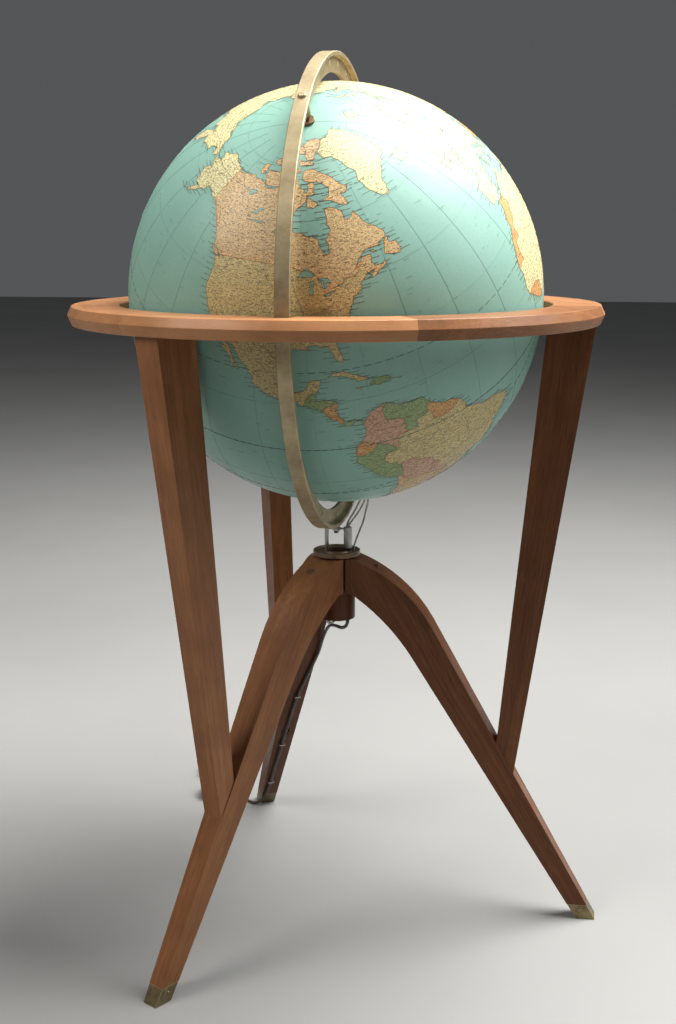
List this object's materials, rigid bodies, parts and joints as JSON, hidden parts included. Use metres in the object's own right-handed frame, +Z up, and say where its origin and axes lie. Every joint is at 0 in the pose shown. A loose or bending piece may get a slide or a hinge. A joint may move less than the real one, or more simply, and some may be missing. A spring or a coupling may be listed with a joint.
{
  "type": "floor globe on stand",
  "caption": "Terrestrial globe in a swinging meridian ring and horizon ring, on a stand of splayed curved wooden legs and struts with metal feet.",
  "frame": {"origin": "point on the floor under the stand's axis, which the ball's centre is on", "axes": "+Z up; +X along the swing axis of the meridian ring, close to one leg; -Y to the side where the north pole leans"},
  "size_m": [0.5373, 0.5707, 0.875],
  "materials": {
    "walnut": "warm reddish-brown walnut, satin lacquer",
    "dowel_wood": "plain beech, unfinished",
    "card": "stiff card, uncoated",
    "ferrule_brass": "dull, worn",
    "hub_brass": "dull grey-brown patina",
    "black_steel": "black, worn",
    "steel": "dull zinc",
    "meridian_brass": "antique bronze patina, satin",
    "copper": "reddish, dull",
    "socket_black": "phenolic, matt",
    "bulb_glass": "frosted",
    "ball_map": "printed map under satin varnish",
    "lead_pvc": "soft PVC, slightly glossy",
    "cord_pvc": "soft PVC, slightly glossy",
    "tie_paper": "paper-covered wire",
    "blade_brass": "bright"
  },
  "bodies": {
    "stand": {"horizon_segment_1": "walnut", "horizon_segment_2": "walnut", "horizon_segment_3": "walnut", "horizon_segment_4": "walnut", "horizon_segment_5": "walnut", "horizon_segment_6": "walnut", "ring_dowels": "dowel_wood", "strut_dowels": "dowel_wood", "strut_1": "walnut", "strut_2": "walnut", "strut_3": "walnut", "strut_screws": "steel", "leg_1": "walnut", "leg_2": "walnut", "leg_3": "walnut", "leg_dowels": "dowel_wood", "foot_ferrule_1": "ferrule_brass", "foot_ferrule_2": "ferrule_brass", "foot_ferrule_3": "ferrule_brass", "ferrule_pins": "ferrule_brass", "hub_post": "walnut", "hub_disc": "hub_brass", "guide_pin": "hub_brass", "wire_conduit": "hub_brass", "conduit_collar": "black_steel", "roller_axle": "steel", "axle_collars": "steel", "lamp_lead_a": "lead_pvc", "lamp_lead_b": "lead_pvc", "lamp_lead_c": "lead_pvc", "mains_cord": "cord_pvc", "mains_cord_tail": "cord_pvc", "mains_branch": "cord_pvc", "mains_cord_coil": "cord_pvc", "coil_tie": "tie_paper", "plug_body": "cord_pvc", "plug_blades": "blade_brass", "wire_staples": "steel"},
    "meridian": {"meridian_ring": "meridian_brass", "degree_marks": "meridian_brass", "north_pin": "meridian_brass", "north_spacer": "copper", "south_nut": "meridian_brass", "lamp_stem": "meridian_brass", "lamp_socket": "socket_black", "lamp_bulb": "bulb_glass"},
    "ball": {"north_shell": "ball_map", "south_shell": "ball_map", "equator_ring": "card", "north_bush": "socket_black", "south_bush": "socket_black"},
    "roller": {"cradle_roller": "steel"}
  },
  "joints": [
    {"name": "meridian_turn", "type": "hinge", "parent": "stand", "child": "meridian", "pos_m": [0, 0, 0.645], "axis": [1, 0, 0], "range_deg": [-28, 22], "deforming": ["lamp_lead_a", "lamp_lead_b", "lamp_lead_c"]},
    {"name": "ball_spin", "type": "hinge", "parent": "meridian", "child": "ball", "pos_m": [0, 0, 0.645], "axis": [0, -0.6347, 0.7727], "continuous": true},
    {"name": "roller_spin", "type": "hinge", "parent": "stand", "child": "roller", "pos_m": [0, 0, 0.4096], "axis": [1, 0, 0], "range_deg": [-1013, 1289]}
  ],
  "couplings": [
    {"joint": "roller_spin", "follows": "meridian_turn", "ratio": -46}
  ]
}
